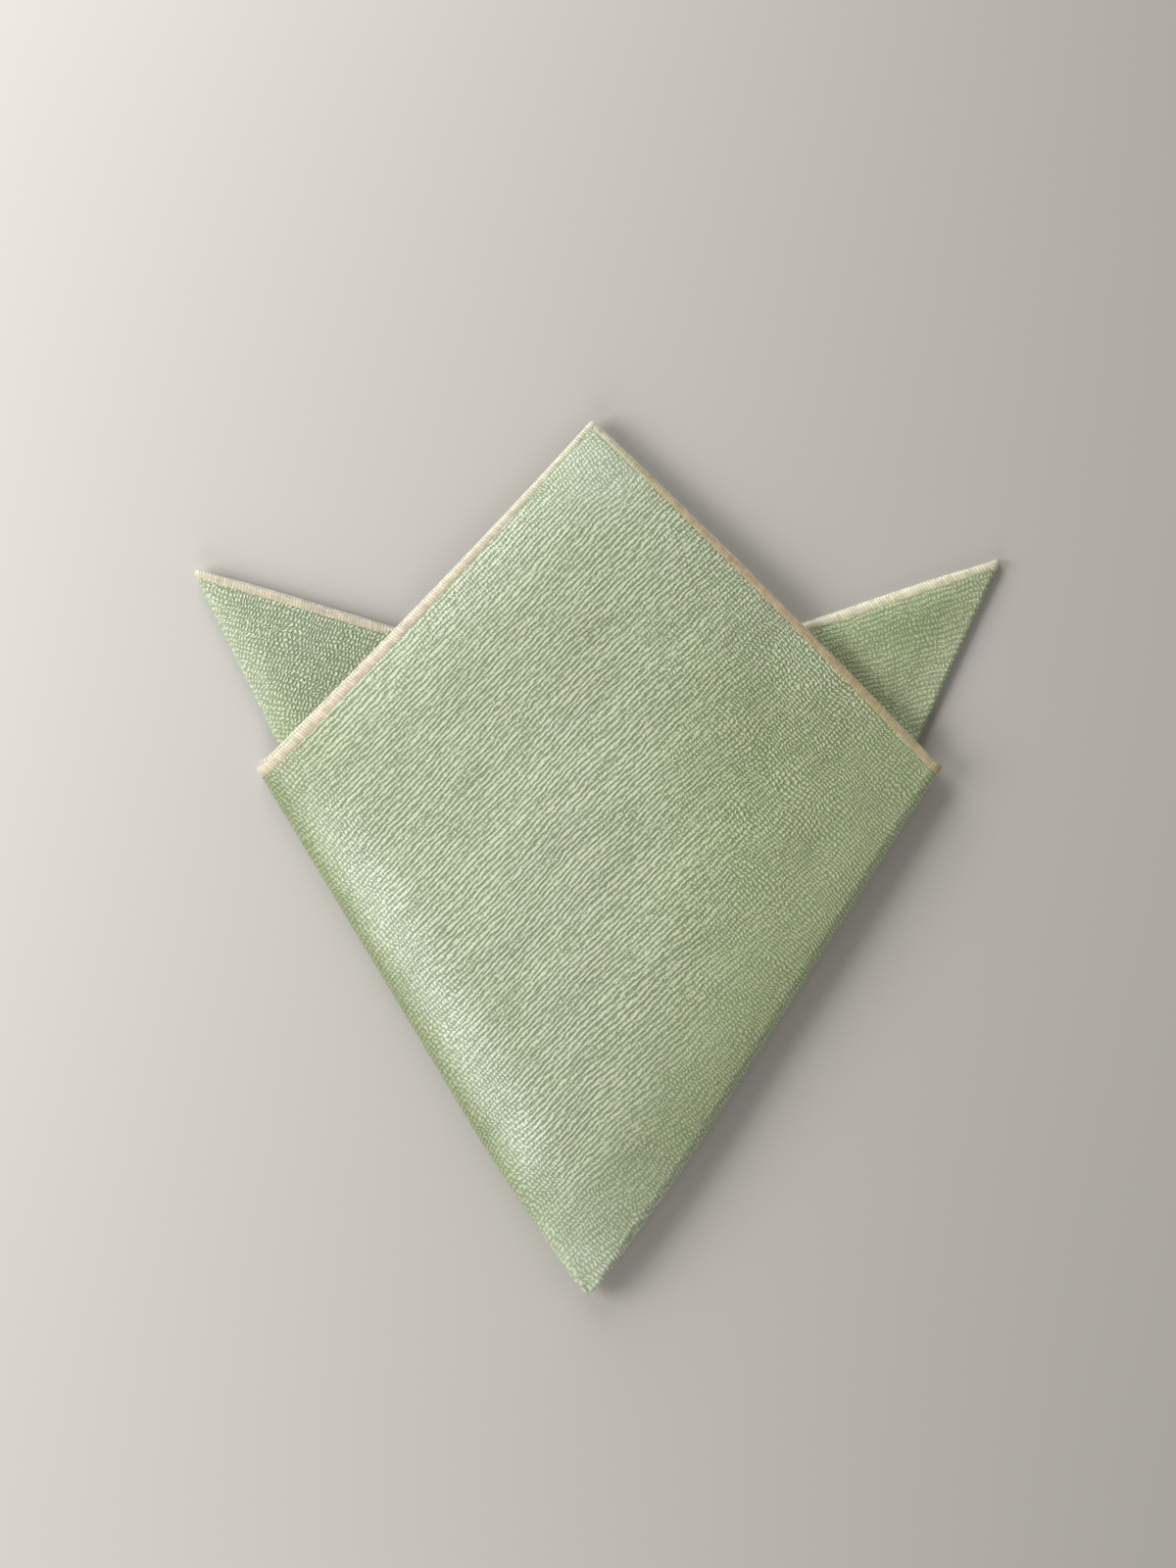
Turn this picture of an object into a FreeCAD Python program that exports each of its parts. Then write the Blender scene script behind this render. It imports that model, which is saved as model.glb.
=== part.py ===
"""A square pocket handkerchief, folded into a kite with two ears and laid on its back.

The cloth was folded in half across one diagonal, so its two free corners point
up (+Y) and the middle of the fold is the tip at the bottom. The right wing was
then folded behind to the left, and the left wing behind that to the right, so
each wing's own corner shows as an ear on the far side. Six plies lie over each
other: two of the front panel, two of the right wing and two of the left wing.
The front ply is soft and bellies up a little over the folds behind it.

Frame: the panel faces up (+Z), the folded piece rests on Z = 0, the two free
corners point along +Y, and the origin is under the middle of its outline.
All sizes are in millimetres and degrees.
"""

import FreeCAD
import Part
import Sketcher
import os
from collections import namedtuple

doc = FreeCAD.newDocument("handkerchief")


# ---- driving dimensions ------------------------------------------------------

SIZES = (
    ("side", 300, "edge of the square cloth, laid flat"),
    ("cloth_thickness", 0.5, "one ply of the woven cloth"),
    ("hem_width", 2.3, "stitched edging, across the hem"),
    ("hem_relief", 0.6, "how far the turned, stitched edge stands proud of the cloth"),
    ("hem_round", 0.35, "bevel that stands for the hem's round outer edge"),
    ("ply_gap", 0.2, "air between two layers that lie on each other"),
    ("left_hem_angle", 43.5, "left top hem, from the centre line"),
    ("right_hem_angle", 45.3, "right top hem, from the centre line"),
    ("left_fold_angle", 31.0, "left side fold, from the centre line"),
    ("right_fold_angle", 32.65, "right side fold, from the centre line"),
    ("left_tuck_angle", 2.1, "crease of the left ear, from the left side fold"),
    ("right_tuck_angle", 3.35, "crease of the right ear, from the right side fold"),
    ("left_take_up", 10.2, "diagonal lost in the folds on the way to the left ear"),
    ("right_take_up", 6.5, "diagonal lost in the folds on the way to the right ear"),
    ("swell_height", 4.2, "how far the front ply bellies up from the folds behind it"),
    ("crown_shift", 20, "top of that swell, to the left of the centre line"),
)

sheet = doc.addObject("Spreadsheet::Sheet", "sizes")
for row, (alias, value, meaning) in enumerate(SIZES, start=1):
    sheet.set(f"A{row}", meaning)
    sheet.set(f"B{row}", str(value))
    sheet.setAlias(f"B{row}", alias)
doc.recompute()


# ---- derived sizes, as expressions on the sheet ------------------------------

HEM_THICKNESS = "(sizes.cloth_thickness + sizes.hem_relief)"
PAIR_HEIGHT = f"(2 * {HEM_THICKNESS} + sizes.ply_gap)"
PAIR_PITCH = f"({PAIR_HEIGHT} + sizes.ply_gap)"
STACK_HEIGHT = f"(3 * {PAIR_HEIGHT} + 2 * sizes.ply_gap)"
TIP_RADIUS = f"({STACK_HEIGHT} / 2)"
APEX_REACH = f"(sizes.side / sqrt(2) - {TIP_RADIUS})"
CORNER_HALF = "((sizes.left_hem_angle + sizes.right_hem_angle) / 2)"
CORNER_LEAN = "((sizes.right_hem_angle - sizes.left_hem_angle) / 2)"
CORNER_MARGIN = f"(sizes.hem_width / sin({CORNER_HALF}))"
TIP_HALF = "((sizes.left_fold_angle + sizes.right_fold_angle) / 2)"
CROWN_UP = f"({APEX_REACH} * sin({CORNER_HALF}) / (sin({CORNER_HALF}) + sin({TIP_HALF})))"

# The plies from the bottom up. Two of each pair lie with their wrong sides
# together, and the hems stand proud of the cloth on that side only.
PLIES = (
    "left_wing_back",
    "left_wing_front",
    "right_wing_back",
    "right_wing_front",
    "panel_back",
    "panel_front",
)


def span(ply, thickness):
    """Bottom and top of a layer of this thickness, flush with the ply's right side."""
    pair, upper = divmod(PLIES.index(ply), 2)
    if upper:
        top = f"({pair} * {PAIR_PITCH} + {PAIR_HEIGHT})"
        return f"({top} - {thickness})", top
    bottom = f"({pair} * {PAIR_PITCH})"
    return bottom, f"({bottom} + {thickness})"


# ---- the folds ---------------------------------------------------------------

# A line in plan that the hem crosses: it starts at (x, y), runs at `angle` from
# the centre line, and meets the hem's outer edge at `reach` and the hem's inner
# edge `margin` before that.
Line = namedtuple("Line", "x y angle reach margin")

# A fold joins two plies round a line, on the right (+1) or on the left (-1).
Fold = namedtuple("Fold", "name line side lower upper")

RIGHT_SHIFT = f"({PAIR_PITCH} / 2)"
LEFT_ANGLE = "(sizes.left_fold_angle + sizes.left_hem_angle)"
RIGHT_ANGLE = "(sizes.right_fold_angle + sizes.right_hem_angle)"

left_side = Line(
    "0",
    "0",
    "(0 - sizes.left_fold_angle)",
    f"({APEX_REACH} * sin(sizes.left_hem_angle) / sin({LEFT_ANGLE}))",
    f"(sizes.hem_width / sin({LEFT_ANGLE}))",
)
right_side = Line(
    f"({RIGHT_SHIFT} * cos(sizes.right_fold_angle))",
    f"(0 - {RIGHT_SHIFT} * sin(sizes.right_fold_angle))",
    "sizes.right_fold_angle",
    f"(({APEX_REACH} * sin(sizes.right_hem_angle) - {RIGHT_SHIFT} * cos({RIGHT_ANGLE}))"
    f" / sin({RIGHT_ANGLE}))",
    f"(sizes.hem_width / sin({RIGHT_ANGLE}))",
)
left_ear = Line(
    "0",
    "0",
    "(sizes.left_tuck_angle - sizes.left_fold_angle)",
    f"({APEX_REACH} - sizes.left_take_up)",
    CORNER_MARGIN,
)
right_ear = Line(
    "0",
    "0",
    "(sizes.right_fold_angle - sizes.right_tuck_angle)",
    f"({APEX_REACH} - sizes.right_take_up)",
    CORNER_MARGIN,
)
# The free corners, where the two top hems meet on their own mitre line.
free_corner = Line(
    f"({CORNER_MARGIN} * sin({CORNER_LEAN}))",
    f"({APEX_REACH} - {CORNER_MARGIN} * cos({CORNER_LEAN}))",
    f"(0 - {CORNER_LEAN})",
    CORNER_MARGIN,
    CORNER_MARGIN,
)

left_outer = Fold("left_outer_fold", left_side, -1, "left_wing_back", "panel_front")
left_inner = Fold("left_inner_fold", left_side, -1, "left_wing_front", "panel_back")
right_outer = Fold("right_outer_fold", right_side, 1, "right_wing_back", "panel_front")
right_inner = Fold("right_inner_fold", right_side, 1, "right_wing_front", "panel_back")
left_crease = Fold("left_ear_crease", left_ear, -1, "right_wing_back", "right_wing_front")
right_crease = Fold("right_ear_crease", right_ear, 1, "left_wing_back", "left_wing_front")
FOLDS = (left_outer, left_inner, right_outer, right_inner, left_crease, right_crease)

TIP = ("0", "0")


def along(line, distance):
    """The point this far along a line in plan."""
    return (
        f"({line.x} + {distance} * sin({line.angle}))",
        f"({line.y} + {distance} * cos({line.angle}))",
    )


def inner_end(line):
    """Where the hem's inner edge crosses a line."""
    return along(line, f"({line.reach} - {line.margin})")


# ---- helpers that draw in a body ---------------------------------------------


def value_of(expression):
    """The number that an expression on the sheet gives now."""
    return float(sheet.evalExpression(expression))


def origin_plane(body, role):
    """One of a body's own origin planes."""
    for feature in body.Origin.OriginFeatures:
        if feature.Role == role:
            return feature
    raise LookupError(f"{body.Name} has no {role}")


def new_sketch(body, name, plane, base, turn):
    """An empty sketch on a body's plane, moved to `base` and turned about its own Y."""
    sketch = body.newObject("Sketcher::SketchObject", name)
    sketch.AttachmentSupport = [(origin_plane(body, plane), "")]
    sketch.MapMode = "FlatFace"
    sketch.AttachmentOffset = FreeCAD.Placement(
        FreeCAD.Vector(*(value_of(part) for part in base)),
        FreeCAD.Rotation(FreeCAD.Vector(0, 1, 0), value_of(turn)),
    )
    for axis, expression in zip("xyz", base):
        sketch.setExpression(f"AttachmentOffset.Base.{axis}", expression)
    if turn != "0":
        sketch.setExpression("AttachmentOffset.Rotation.Angle", turn)
    return sketch


def dimension(sketch, name, constraint, expression):
    """Add a driving dimension and bind it to the sheet."""
    index = sketch.addConstraint(constraint)
    sketch.renameConstraint(index, name)
    sketch.setExpression(f"Constraints.{name}", expression)


def draw_outline(sketch, corners):
    """Draw a closed outline of straight runs, each corner held by its two expressions."""
    points = [FreeCAD.Vector(value_of(x), value_of(y), 0) for x, y in corners]
    count = len(points)
    for here in range(count):
        after = (here + 1) % count
        sketch.addGeometry(Part.LineSegment(points[here], points[after]), False)
    for here in range(count):
        sketch.addConstraint(Sketcher.Constraint("Coincident", here, 2, (here + 1) % count, 1))
    for here, (x, y) in enumerate(corners):
        if (x, y) == TIP:
            sketch.addConstraint(Sketcher.Constraint("Coincident", here, 1, -1, 1))
            continue
        across = Sketcher.Constraint("DistanceX", -1, 1, here, 1, points[here].x)
        dimension(sketch, f"corner_{here}_across", across, x)
        up = Sketcher.Constraint("DistanceY", -1, 1, here, 1, points[here].y)
        dimension(sketch, f"corner_{here}_up", up, y)


def draw_half_ring(sketch, side, outer, inner):
    """Draw half a ring about the sketch's origin, bulging to the given side."""
    start = -90 if side > 0 else 90
    arcs = []
    for radius in (outer, inner):
        circle = Part.Circle(FreeCAD.Vector(0, 0, 0), FreeCAD.Vector(0, 0, 1), value_of(radius))
        first = FreeCAD.Units.Quantity(start, "deg").getValueAs("rad").Value
        last = FreeCAD.Units.Quantity(start + 180, "deg").getValueAs("rad").Value
        arcs.append(sketch.addGeometry(Part.ArcOfCircle(circle, first, last), False))
    outer_arc, inner_arc = arcs
    for end in (1, 2):
        run = Part.LineSegment(
            sketch.getPoint(inner_arc, end),
            sketch.getPoint(outer_arc, end),
        )
        line = sketch.addGeometry(run, False)
        sketch.addConstraint(Sketcher.Constraint("Coincident", line, 1, inner_arc, end))
        sketch.addConstraint(Sketcher.Constraint("Coincident", line, 2, outer_arc, end))
        sketch.addConstraint(Sketcher.Constraint("PointOnObject", line, 1, -2))
        sketch.addConstraint(Sketcher.Constraint("PointOnObject", line, 2, -2))
    for name, arc, radius in (("outer", outer_arc, outer), ("inner", inner_arc, inner)):
        sketch.addConstraint(Sketcher.Constraint("Coincident", arc, 3, -1, 1))
        size = Sketcher.Constraint("Radius", arc, value_of(radius))
        dimension(sketch, f"{name}_radius", size, radius)


# ---- the cloth ---------------------------------------------------------------

cloth = doc.addObject("PartDesign::Body", "cloth")
cloth.Label = "cloth"

PANEL = (
    TIP,
    (right_side.x, right_side.y),
    inner_end(right_side),
    (free_corner.x, free_corner.y),
    inner_end(left_side),
)
RIGHT_WING = (
    TIP,
    (right_side.x, right_side.y),
    inner_end(right_side),
    inner_end(left_ear),
)
LEFT_WING = (
    TIP,
    inner_end(left_side),
    inner_end(right_ear),
)
OUTLINES = {
    "left_wing_back": LEFT_WING,
    "left_wing_front": LEFT_WING,
    "right_wing_back": RIGHT_WING,
    "right_wing_front": RIGHT_WING,
    "panel_back": PANEL,
    "panel_front": PANEL,
}


def fold_radii(fold, thickness):
    """Outer and inner radius, and height of the axis, of a layer that turns a fold."""
    bottom, lower_top = span(fold.lower, thickness)
    upper_bottom, top = span(fold.upper, thickness)
    outer = f"(({top} - {bottom}) / 2)"
    inner = f"(({upper_bottom} - {lower_top}) / 2)"
    height = f"(({top} + {bottom}) / 2)"
    return outer, inner, height


# The tip, where the plies are pressed together. A sector of a ball closes each
# outer fold, from the end of the left side round to the end of the right side,
# and a thin one closes each ear's crease against the side fold next to it.
# Angles are from +X, the usual way round.
AROUND_TIP = ("(180 + sizes.left_fold_angle)", "(180 - sizes.left_fold_angle - sizes.right_fold_angle)")
TIP_SECTORS = (
    (left_outer, *AROUND_TIP),
    (right_outer, *AROUND_TIP),
    (left_crease, "(180 + sizes.left_fold_angle - sizes.left_tuck_angle)", "sizes.left_tuck_angle"),
    (right_crease, "(360 - sizes.right_fold_angle)", "sizes.right_tuck_angle"),
)
for fold, start, sweep in TIP_SECTORS:
    outer, inner, height = fold_radii(fold, "sizes.cloth_thickness")
    ball = cloth.newObject("PartDesign::AdditiveSphere", f"{fold.name}_tip")
    ball.AttachmentSupport = [(origin_plane(cloth, "XY_Plane"), "")]
    ball.MapMode = "FlatFace"
    ball.AttachmentOffset = FreeCAD.Placement(
        FreeCAD.Vector(),
        FreeCAD.Rotation(FreeCAD.Vector(0, 0, 1), value_of(start)),
    )
    ball.setExpression("AttachmentOffset.Base.x", fold.line.x)
    ball.setExpression("AttachmentOffset.Base.y", fold.line.y)
    ball.setExpression("AttachmentOffset.Base.z", height)
    ball.setExpression("AttachmentOffset.Rotation.Angle", start)
    ball.setExpression("Radius", outer)
    ball.setExpression("Angle3", sweep)

for fold in FOLDS:
    outer, inner, height = fold_radii(fold, "sizes.cloth_thickness")
    line = fold.line
    base = (line.x, height, f"(0 - {line.y})")
    section = new_sketch(cloth, f"{fold.name}_section", "XZ_Plane", base, f"(0 - {line.angle})")
    draw_half_ring(section, fold.side, outer, inner)
    roll = cloth.newObject("PartDesign::Pad", fold.name)
    roll.Profile = section
    roll.Reversed = True
    roll.setExpression("Length", f"{line.reach} - {line.margin}")

for ply in PLIES:
    bottom, top = span(ply, "sizes.cloth_thickness")
    outline = new_sketch(cloth, f"{ply}_outline", "XY_Plane", ("0", "0", bottom), "0")
    draw_outline(outline, OUTLINES[ply])
    layer = cloth.newObject("PartDesign::Pad", ply)
    layer.Profile = outline
    layer.setExpression("Length", "sizes.cloth_thickness")

# The soft swell of the front ply. The panel's outline shrinks towards the crown
# as it rises: each step gives its size, as a share of the panel, and its height,
# as a share of the whole rise. The hollow under it starts two thicknesses of
# cloth inside the rim, which the crown's distance from the left fold turns into a
# share of the panel, so the ply stays whole at its edge.
CROWN = ("(0 - sizes.crown_shift)", CROWN_UP)
SWELL_STEPS = ((0.72, 0.66), (0.35, 1))
CROWN_TO_LEFT = (
    f"({CROWN_UP} * sin(sizes.left_fold_angle) - sizes.crown_shift * cos(sizes.left_fold_angle))"
)
HOLLOW_SHARE = f"(1 - 2 * sizes.cloth_thickness / {CROWN_TO_LEFT})"


def shrunk(corners, share):
    """An outline's corners, drawn in towards the crown of the swell."""
    centre_x, centre_y = CROWN
    return tuple(
        (f"({centre_x} + {share} * ({x} - {centre_x}))", f"({centre_y} + {share} * ({y} - {centre_y}))")
        for x, y in corners
    )


def loft_swell(kind, name, base, first_share):
    """A smooth loft over the panel, from that share of its outline at height `base` up to the crown."""
    outlines = []
    for step, (share, rise) in enumerate(((first_share, 0), *SWELL_STEPS)):
        height = f"({base} + {rise} * sizes.swell_height)"
        outline = new_sketch(cloth, f"{name}_outline_{step}", "XY_Plane", ("0", "0", height), "0")
        draw_outline(outline, shrunk(PANEL, share))
        outlines.append(outline)
    loft = cloth.newObject(kind, name)
    loft.Profile, *loft.Sections = outlines
    return loft


front_bottom, front_top = span("panel_front", "sizes.cloth_thickness")
loft_swell("PartDesign::AdditiveLoft", "front_swell", front_top, 1)
cloth.Tip = loft_swell("PartDesign::SubtractiveLoft", "front_hollow", front_bottom, HOLLOW_SHARE)


# ---- the hem -----------------------------------------------------------------

hem = doc.addObject("PartDesign::Body", "hem")
hem.Label = "hem"


def hem_section(name, line, ply):
    """The hem's section where it crosses a line: square inside, bevelled outside."""
    base = (line.x, "0", f"(0 - {line.y})")
    sketch = new_sketch(hem, name, "XZ_Plane", base, f"(90 - {line.angle})")
    bottom, top = span(ply, HEM_THICKNESS)
    inner = f"({line.reach} - {line.margin})"
    bevel = f"(sizes.hem_round * {line.margin} / sizes.hem_width)"
    draw_outline(
        sketch,
        (
            (inner, bottom),
            (f"({line.reach} - {bevel})", bottom),
            (line.reach, f"({bottom} + sizes.hem_round)"),
            (line.reach, f"({top} - sizes.hem_round)"),
            (f"({line.reach} - {bevel})", top),
            (inner, top),
        ),
    )
    return sketch


def draw_fold_axis(sketch, fold):
    """Draw the fold's axis in a section of the hem, as a line to turn it about."""
    height = fold_radii(fold, HEM_THICKNESS)[2]
    level = value_of(height)
    ends = FreeCAD.Vector(0, level, 0), FreeCAD.Vector(1, level, 0)
    axis = sketch.addGeometry(Part.LineSegment(*ends), True)
    sketch.addConstraint(Sketcher.Constraint("Horizontal", axis))
    sketch.addConstraint(Sketcher.Constraint("PointOnObject", axis, 1, -2))
    sketch.addConstraint(Sketcher.Constraint("Distance", axis, 1.0))
    up = Sketcher.Constraint("DistanceY", -1, 1, axis, 1, level)
    dimension(sketch, "axis_height", up, height)


# The hem once round the cloth, from the front free corner: each run goes along
# one ply from one line to the next, and then turns the fold that it meets.
HEM_RUNS = (
    ("panel_front", free_corner, left_side, left_outer),
    ("left_wing_back", left_side, right_ear, right_crease),
    ("left_wing_front", right_ear, left_side, left_inner),
    ("panel_back", left_side, free_corner, None),
    ("panel_back", free_corner, right_side, right_inner),
    ("right_wing_front", right_side, left_ear, left_crease),
    ("right_wing_back", left_ear, right_side, right_outer),
    ("panel_front", right_side, free_corner, None),
)

for number, (ply, start, end, fold) in enumerate(HEM_RUNS):
    run = hem.newObject("PartDesign::AdditiveLoft", f"run_{number}")
    run.Profile = hem_section(f"run_{number}_start", start, ply)
    end_section = hem_section(f"run_{number}_end", end, ply)
    run.Sections = [end_section]
    run.Ruled = True
    if fold is None:
        continue
    draw_fold_axis(end_section, fold)
    turn = hem.newObject("PartDesign::Revolution", f"turn_{number}")
    turn.Profile = end_section
    turn.ReferenceAxis = (end_section, ["Axis0"])
    turn.Angle = 180
    turn.Reversed = (ply == fold.upper) != (fold.side > 0)

hem.Tip = run


# ---- place, check and write --------------------------------------------------

doc.recompute()
BODIES = (cloth, hem)

outline = Part.makeCompound([body.Shape for body in BODIES]).optimalBoundingBox()
middle = FreeCAD.Vector(outline.Center.x, outline.Center.y, 0)
for body in BODIES:
    body.Placement = FreeCAD.Placement(-middle, FreeCAD.Rotation())
doc.recompute()

for item in doc.Objects:
    if "Invalid" in item.State or "Error" in item.State:
        raise RuntimeError(f"{item.Label} did not compute")
for body in BODIES:
    if body.Shape.isNull() or not body.Shape.isValid() or len(body.Shape.Solids) != 1:
        raise RuntimeError(f"{body.Label} is not one sound solid")

os.makedirs("parts", exist_ok=True)
for body in BODIES:
    body.Shape.exportStep(f"parts/{body.Label}.step")
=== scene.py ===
"""A folded pocket handkerchief: one square of ribbed cloth with a stitched edge, folded to a point.

The cloth is folded here from the flat square, so its weave and its hem run true through every fold.
"""

import math

import bpy
import numpy as np
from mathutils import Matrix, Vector


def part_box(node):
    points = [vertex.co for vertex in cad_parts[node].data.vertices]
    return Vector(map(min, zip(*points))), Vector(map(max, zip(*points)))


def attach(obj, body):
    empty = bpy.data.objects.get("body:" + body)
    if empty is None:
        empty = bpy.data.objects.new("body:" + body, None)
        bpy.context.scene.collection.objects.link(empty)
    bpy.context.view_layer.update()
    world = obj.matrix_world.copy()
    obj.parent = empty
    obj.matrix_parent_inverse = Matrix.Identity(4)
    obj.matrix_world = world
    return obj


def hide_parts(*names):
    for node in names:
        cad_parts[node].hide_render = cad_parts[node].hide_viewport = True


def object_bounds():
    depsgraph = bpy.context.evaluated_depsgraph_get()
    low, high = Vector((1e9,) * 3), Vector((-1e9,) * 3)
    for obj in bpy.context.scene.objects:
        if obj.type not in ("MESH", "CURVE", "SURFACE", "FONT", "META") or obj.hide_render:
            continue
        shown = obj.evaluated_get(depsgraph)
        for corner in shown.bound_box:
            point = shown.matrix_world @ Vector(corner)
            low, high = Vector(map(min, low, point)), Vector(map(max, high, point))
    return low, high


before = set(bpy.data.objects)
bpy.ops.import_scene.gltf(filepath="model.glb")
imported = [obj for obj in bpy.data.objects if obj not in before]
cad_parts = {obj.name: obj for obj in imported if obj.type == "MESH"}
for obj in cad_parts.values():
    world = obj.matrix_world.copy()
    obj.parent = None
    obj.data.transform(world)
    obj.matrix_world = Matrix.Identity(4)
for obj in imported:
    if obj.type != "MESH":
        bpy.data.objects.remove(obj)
cad_low, cad_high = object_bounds()


# ---- the cloth ---------------------------------------------------------------
# One square of soft green ribbed cloth, folded in half corner to corner to make the panel in front. Both
# sides then go behind it, so that every fold starts at the tip and the ends of the two wings stand out as
# ears. Nothing but its own folds holds it.

MM = 0.001
SIDE = 300 * MM
CLOTH = 0.5 * MM
HALF_DIAGONAL = SIDE / math.sqrt(2)
HEM_RELIEF = 0.6 * MM
LAYER_GAP = 0.2 * MM
PAIR_HEIGHT = 2 * (CLOTH + HEM_RELIEF) + LAYER_GAP
PAIR_PITCH = PAIR_HEIGHT + LAYER_GAP

# keeps divisions at the very tip from being by nothing
TINY = 1e-9

# the folded part's own sizes, from the frame
cloth_low, cloth_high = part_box("cloth")
hem_low, hem_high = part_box("hem")
STACK = hem_high.z - hem_low.z
SWELL = cloth_high.z - hem_high.z
MID_HEIGHT = STACK / 2
TIP_RADIUS = STACK / 2
APEX_REACH = hem_high.y - (cloth_low.y + TIP_RADIUS)

# the tip in plan, and the apex as seen from it, each a little off its place in the solid
TIP_TO_LEFT = 1.5 * MM
TIP_LOWER = 0.5 * MM
APEX_TO_RIGHT = 1.1 * MM
APEX_HIGHER = 2.3 * MM
TIP = np.array([(hem_low.x + hem_high.x) / 2 - TIP_TO_LEFT, cloth_low.y + TIP_RADIUS - TIP_LOWER])
APEX = np.array([APEX_TO_RIGHT, APEX_REACH + APEX_HIGHER])


def layer_height(pair, upper):
    """Middle of a layer: the pairs are counted from the floor, and each has a lower and an upper layer."""
    return pair * PAIR_PITCH + (PAIR_HEIGHT - CLOTH / 2 if upper else CLOTH / 2)


def heading(angle, reach):
    """A plan vector from the tip, its angle measured from the centre line towards the right."""
    return np.array([math.sin(angle), math.cos(angle)]) * reach


def crossing(fold_angle, hem_angle, shift):
    """How far along a side fold the panel's hem crosses it."""
    turn = fold_angle + hem_angle
    return (APEX_REACH * math.sin(hem_angle) - shift * math.cos(turn)) / math.sin(turn)


class Wing:
    """One side of the cloth: its half of the panel, the side fold, and the part behind that ends in an ear.

    toward is +1 for the wing that folds at the right and shows as the left ear, and -1 for the other. pair
    counts from the floor. The other sizes say how a real fold strays from a ruled one: slack and swell are
    how far the side fold runs long and swells out, slip is how far its rear layer has moved up, take_up is
    what the ear loses in length, and bow, sag and hem_bow bend the ear's crease, its hem and the panel's hem.
    """

    def __init__(
        self,
        toward,
        pair,
        fold_angle,
        hem_angle,
        shift,
        slack,
        slip,
        swell,
        ear_angle,
        take_up,
        bow,
        sag,
        hem_bow,
    ):
        self.toward = toward
        self.angle = math.radians(fold_angle)
        self.heights = {
            1: (layer_height(2, True), layer_height(pair, False)),
            -1: (layer_height(2, False), layer_height(pair, True)),
        }
        self.axis_height = sum(self.heights[1]) / 2
        self.radius = (self.heights[1][0] - self.heights[1][1] + CLOTH) / 2
        self.ear_height = (self.heights[1][1] + self.heights[-1][1]) / 2
        self.ear_radius = (self.heights[-1][1] - self.heights[1][1]) / 2
        reach = crossing(self.angle, math.radians(hem_angle), shift) + slack
        self.out = np.array([toward * math.cos(self.angle), -math.sin(self.angle)])
        self.axis_start = self.out * shift
        self.axis = heading(toward * self.angle, reach)
        ear_heading = -toward * math.radians(ear_angle)
        self.ear = heading(ear_heading, APEX_REACH - take_up)
        self.ear_out = np.array([-toward * math.cos(ear_heading), toward * math.sin(ear_heading)])
        self.slip = slip
        self.swell = swell
        self.bow = bow
        self.sag = sag
        self.hem_bow = hem_bow


RIGHT_WING = Wing(
    toward=1,
    pair=1,
    fold_angle=32.65,
    hem_angle=45.3,
    shift=PAIR_PITCH / 2,
    slack=1.5 * MM,
    slip=0.25 * MM,
    swell=1.7 * MM,
    ear_angle=28.9,
    take_up=9.6 * MM,
    bow=9.2 * MM,
    sag=7.8 * MM,
    hem_bow=0.8 * MM,
)
LEFT_WING = Wing(
    toward=-1,
    pair=0,
    fold_angle=31.0,
    hem_angle=43.5,
    shift=0.0,
    slack=0.3 * MM,
    slip=1.0 * MM,
    swell=1.6 * MM,
    ear_angle=29.67,
    take_up=5.2 * MM,
    bow=17.6 * MM,
    sag=10.5 * MM,
    hem_bow=-0.6 * MM,
)
WINGS = {1: RIGHT_WING, -1: LEFT_WING}


def ease(value, start, end):
    """Goes smoothly from 0 at start to 1 at end."""
    t = np.clip((value - start) / (end - start), 0.0, 1.0)
    return t * t * (3 - 2 * t)


def mix(first, second, share):
    """Goes evenly from first, at a share of 0, to second at 1."""
    return first + (second - first) * share


SWELL_FULL_AT = 0.3


def side_swell(wing, along):
    """How far a side fold swells out from a straight line."""
    return wing.swell * ease(along, 0.0, SWELL_FULL_AT)


def panel_edges(wing):
    """A point on one upper edge of the panel, and the plan direction out across that edge."""
    corner = wing.axis_start + wing.axis
    run = (corner - APEX) / np.linalg.norm(corner - APEX)
    return corner, np.array([-run[1], run[0]]) * wing.toward


NEAR_HEM = 6


def panel_hem_bow(wing, across, along):
    """How far the panel's upper edge bows out from a straight line between the apex and the side fold."""
    return wing.hem_bow * 4 * across * (1 - across) * along**NEAR_HEM


APEX_SLIP = 0.4 * MM
SLIP_FADES_BY = 0.3


def panel_slip(wing, half, across, along):
    """How far the panel's rear layer has slipped up past the front one, as a plan vector."""
    if half == 1:
        return np.zeros(2)
    to_side = wing.axis / np.linalg.norm(wing.axis)
    across = np.broadcast_to(across, np.shape(along))[..., None]
    slip = mix(APEX_SLIP, wing.slip, across) * mix(np.array([0.0, 1.0]), to_side, across)
    return slip * (along**NEAR_HEM)[..., None]


BOW_FROM = 0.15
BOW_FULL_AT = 0.8


def ear_bow(wing, along):
    """How far the crease of an ear bows out from a straight line."""
    return wing.bow * np.clip(1 - along, 0, 1) * ease(along, BOW_FROM, BOW_FULL_AT)


def hem_inward(wing):
    """Unit plan vector square to the hem of a wing, towards the tip."""
    start = wing.axis_start + wing.axis
    run = (wing.ear - start) / np.linalg.norm(wing.ear - start)
    normal = np.array([run[1], -run[0]])
    return normal if normal[1] < 0 else -normal


SAG_FULL_AT = 0.75
SAG_NEAR_HEM = 4
REAR_EDGE_SHOWS = 0.5 * MM


def hem_sag(wing, half, across):
    """How far the slack hem of a wing hangs in from a straight line. Its rear layer shows past the other."""
    sag = wing.sag * (1 - across) * ease(across, 0.0, SAG_FULL_AT)
    return sag - (half == 1) * REAR_EDGE_SHOWS * ease(across, 0.3, 0.6) * (1 - ease(across, 0.9, 1.0))


ROLL_TAKES_SHAPE = 25 * MM


def roll_share(from_tip):
    """How much of its full width a roll has, this far from the tip."""
    return 1 - np.exp(-from_tip / ROLL_TAKES_SHAPE)


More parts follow.
